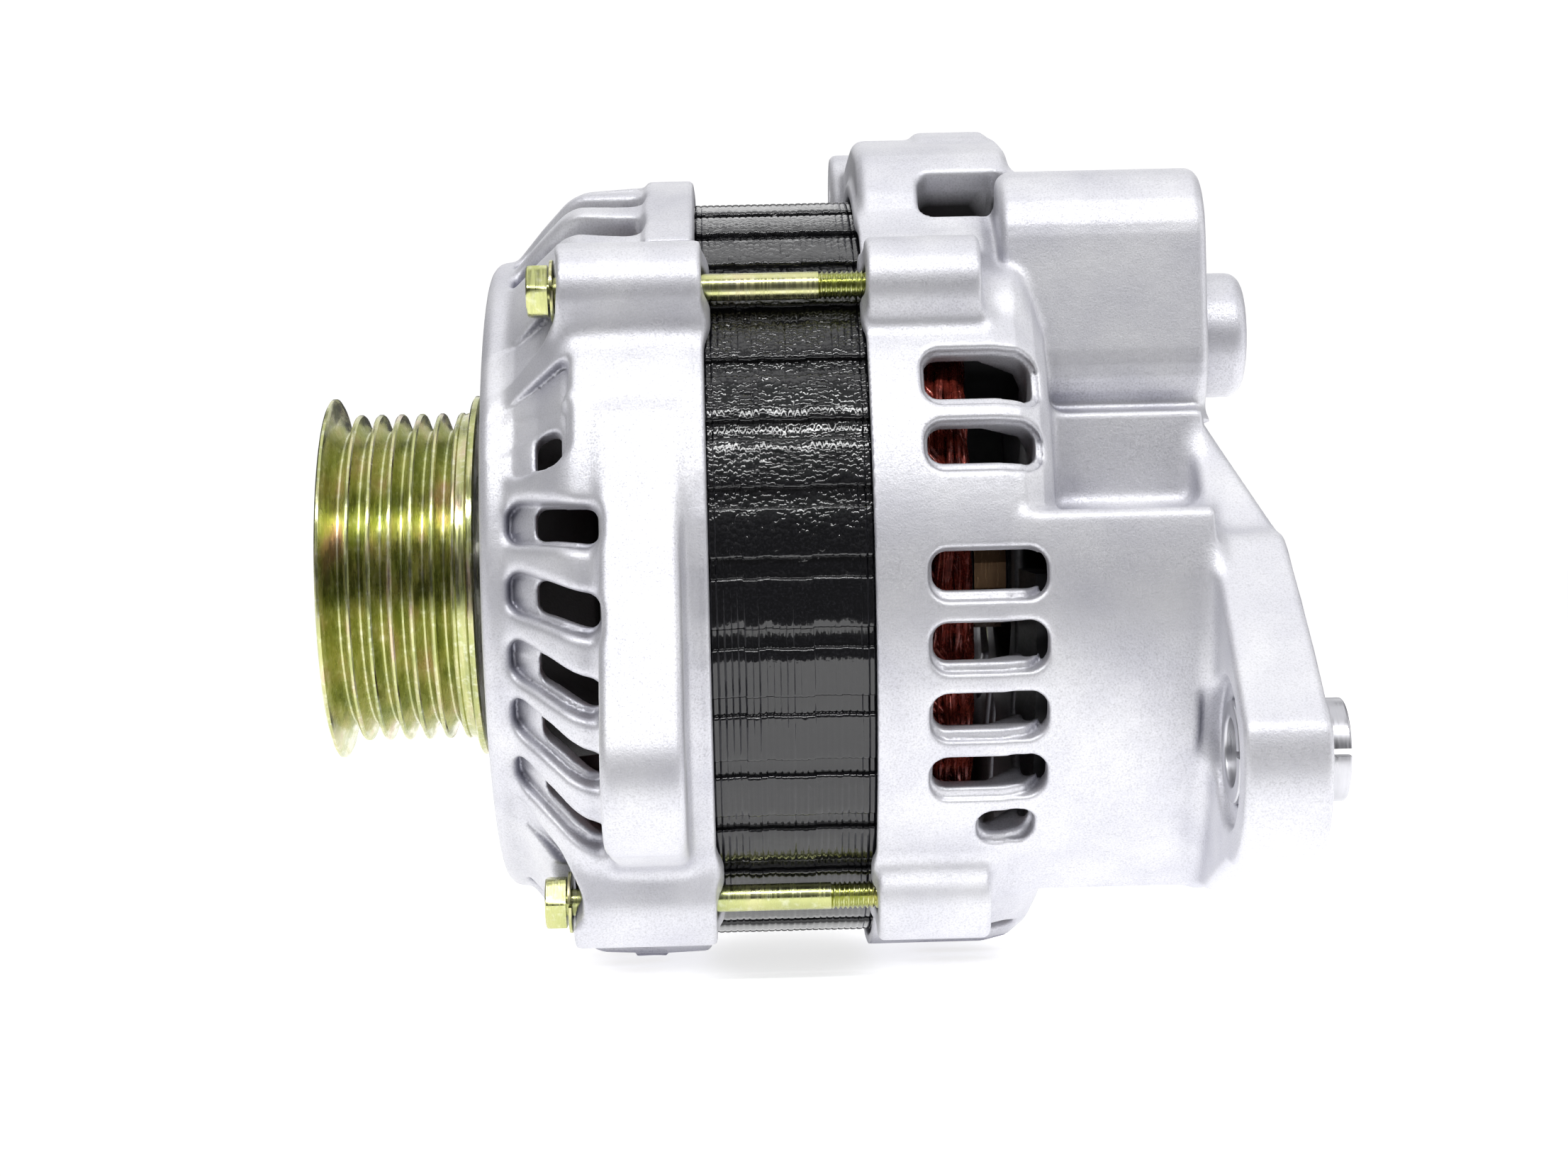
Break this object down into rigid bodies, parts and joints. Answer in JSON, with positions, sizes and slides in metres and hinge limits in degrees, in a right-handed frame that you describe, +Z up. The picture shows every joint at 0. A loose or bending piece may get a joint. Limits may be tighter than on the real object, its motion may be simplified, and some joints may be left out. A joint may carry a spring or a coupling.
{
  "type": "car alternator",
  "caption": "Belt-driven car alternator with a finned two-piece cast housing, grooved pulley, spinning claw-pole rotor, brushes and a pivot ear mounting.",
  "frame": {"origin": "centre of the shaft's flat front end, on the shaft axis", "axes": "+X along the shaft from the pulley to the rear, +Z up towards the adjuster lug, -Y the side that carries the pivot ears"},
  "size_m": [0.1625, 0.1553, 0.1456],
  "materials": {
    "cast_aluminium": "blasted casting, fine grain",
    "yellow_chromate": "yellow passivated zinc, iridescent",
    "varnished_steel": "glossy black varnish on laminations",
    "copper_enamel": "red-brown enamelled copper wire",
    "bare_steel": "machined steel",
    "bearing_steel": "ground bearing steel",
    "black_plastic": "moulded black plastic",
    "bobbin_plastic": "natural nylon",
    "slip_ring_brass": "polished copper alloy",
    "brush_carbon": "pressed carbon",
    "fan_steel": "pressed sheet steel",
    "bush_steel": "grey rolled steel"
  },
  "bodies": {
    "housing": {"through_bolt_1": "yellow_chromate", "through_bolt_2": "yellow_chromate", "through_bolt_3": "yellow_chromate", "through_bolt_4": "yellow_chromate", "bolt_washer_1": "yellow_chromate", "bolt_washer_2": "yellow_chromate", "bolt_washer_3": "yellow_chromate", "bolt_washer_4": "yellow_chromate", "bearing_retainer": "yellow_chromate", "retainer_screw_1": "yellow_chromate", "retainer_screw_2": "yellow_chromate", "retainer_screw_3": "yellow_chromate", "retainer_screw_4": "yellow_chromate", "battery_stud": "yellow_chromate", "battery_nut": "yellow_chromate", "rear_screw_1": "yellow_chromate", "rear_screw_2": "yellow_chromate", "rear_screw_3": "yellow_chromate", "front_brush_spring": "bare_steel", "rear_brush_spring": "bare_steel", "positive_diode_1": "bare_steel", "positive_diode_2": "bare_steel", "positive_diode_3": "bare_steel", "negative_diode_1": "bare_steel", "negative_diode_2": "bare_steel", "negative_diode_3": "bare_steel", "stator_winding": "copper_enamel", "rectifier_terminal_block": "black_plastic", "battery_insulator": "black_plastic", "brush_holder": "black_plastic", "voltage_regulator": "black_plastic", "connector_socket": "black_plastic", "front_bearing_outer_ring": "bearing_steel", "rear_bearing_outer_ring": "bearing_steel", "stator_core": "varnished_steel", "front_bracket": "cast_aluminium", "rear_bracket": "cast_aluminium", "positive_heat_sink": "cast_aluminium", "negative_heat_sink": "cast_aluminium"},
    "rotor": {"rotor_shaft": "bare_steel", "pulley": "yellow_chromate", "pulley_nut": "yellow_chromate", "pulley_lock_washer": "yellow_chromate", "front_spacer_collar": "bare_steel", "front_claw_pole": "bare_steel", "rear_claw_pole": "bare_steel", "field_coil": "copper_enamel", "coil_bobbin": "bobbin_plastic", "front_fan": "fan_steel", "rear_fan": "fan_steel", "slip_ring_moulding": "black_plastic", "front_slip_ring": "slip_ring_brass", "rear_slip_ring": "slip_ring_brass", "front_bearing_inner_ring": "bearing_steel", "rear_bearing_inner_ring": "bearing_steel"},
    "front_ball_cage": {"front_bearing_ball_cage": "bearing_steel"},
    "rear_ball_cage": {"rear_bearing_ball_cage": "bearing_steel"},
    "front_brush": {"front_brush": "brush_carbon"},
    "rear_brush": {"rear_brush": "brush_carbon"},
    "pivot_bush": {"pivot_bush": "bush_steel"}
  },
  "joints": [
    {"name": "rotor_spin", "type": "hinge", "parent": "housing", "child": "rotor", "pos_m": [0.076, 0, 0], "axis": [1, 0, 0], "continuous": true},
    {"name": "front_cage_spin", "type": "hinge", "parent": "housing", "child": "front_ball_cage", "pos_m": [0.0383, 0, 0], "axis": [1, 0, 0], "continuous": true},
    {"name": "rear_cage_spin", "type": "hinge", "parent": "housing", "child": "rear_ball_cage", "pos_m": [0.1325, 0, 0], "axis": [1, 0, 0], "continuous": true},
    {"name": "front_brush_slide", "type": "slide", "parent": "housing", "child": "front_brush", "axis": [0, 0, 1], "range_m": [0, 0.005], "stiffness_N_per_m": 150, "springref_m": -0.012, "deforming": ["front_brush_spring"]},
    {"name": "rear_brush_slide", "type": "slide", "parent": "housing", "child": "rear_brush", "axis": [0, 0, 1], "range_m": [0, 0.005], "stiffness_N_per_m": 150, "springref_m": -0.012, "deforming": ["rear_brush_spring"]},
    {"name": "pivot_bush_slide", "type": "slide", "parent": "housing", "child": "pivot_bush", "axis": [1, 0, 0], "range_m": [-0.0015, 0.0015]}
  ],
  "couplings": [
    {"joint": "front_cage_spin", "follows": "rotor_spin", "ratio": 0.393},
    {"joint": "rear_cage_spin", "follows": "rotor_spin", "ratio": 0.418}
  ]
}
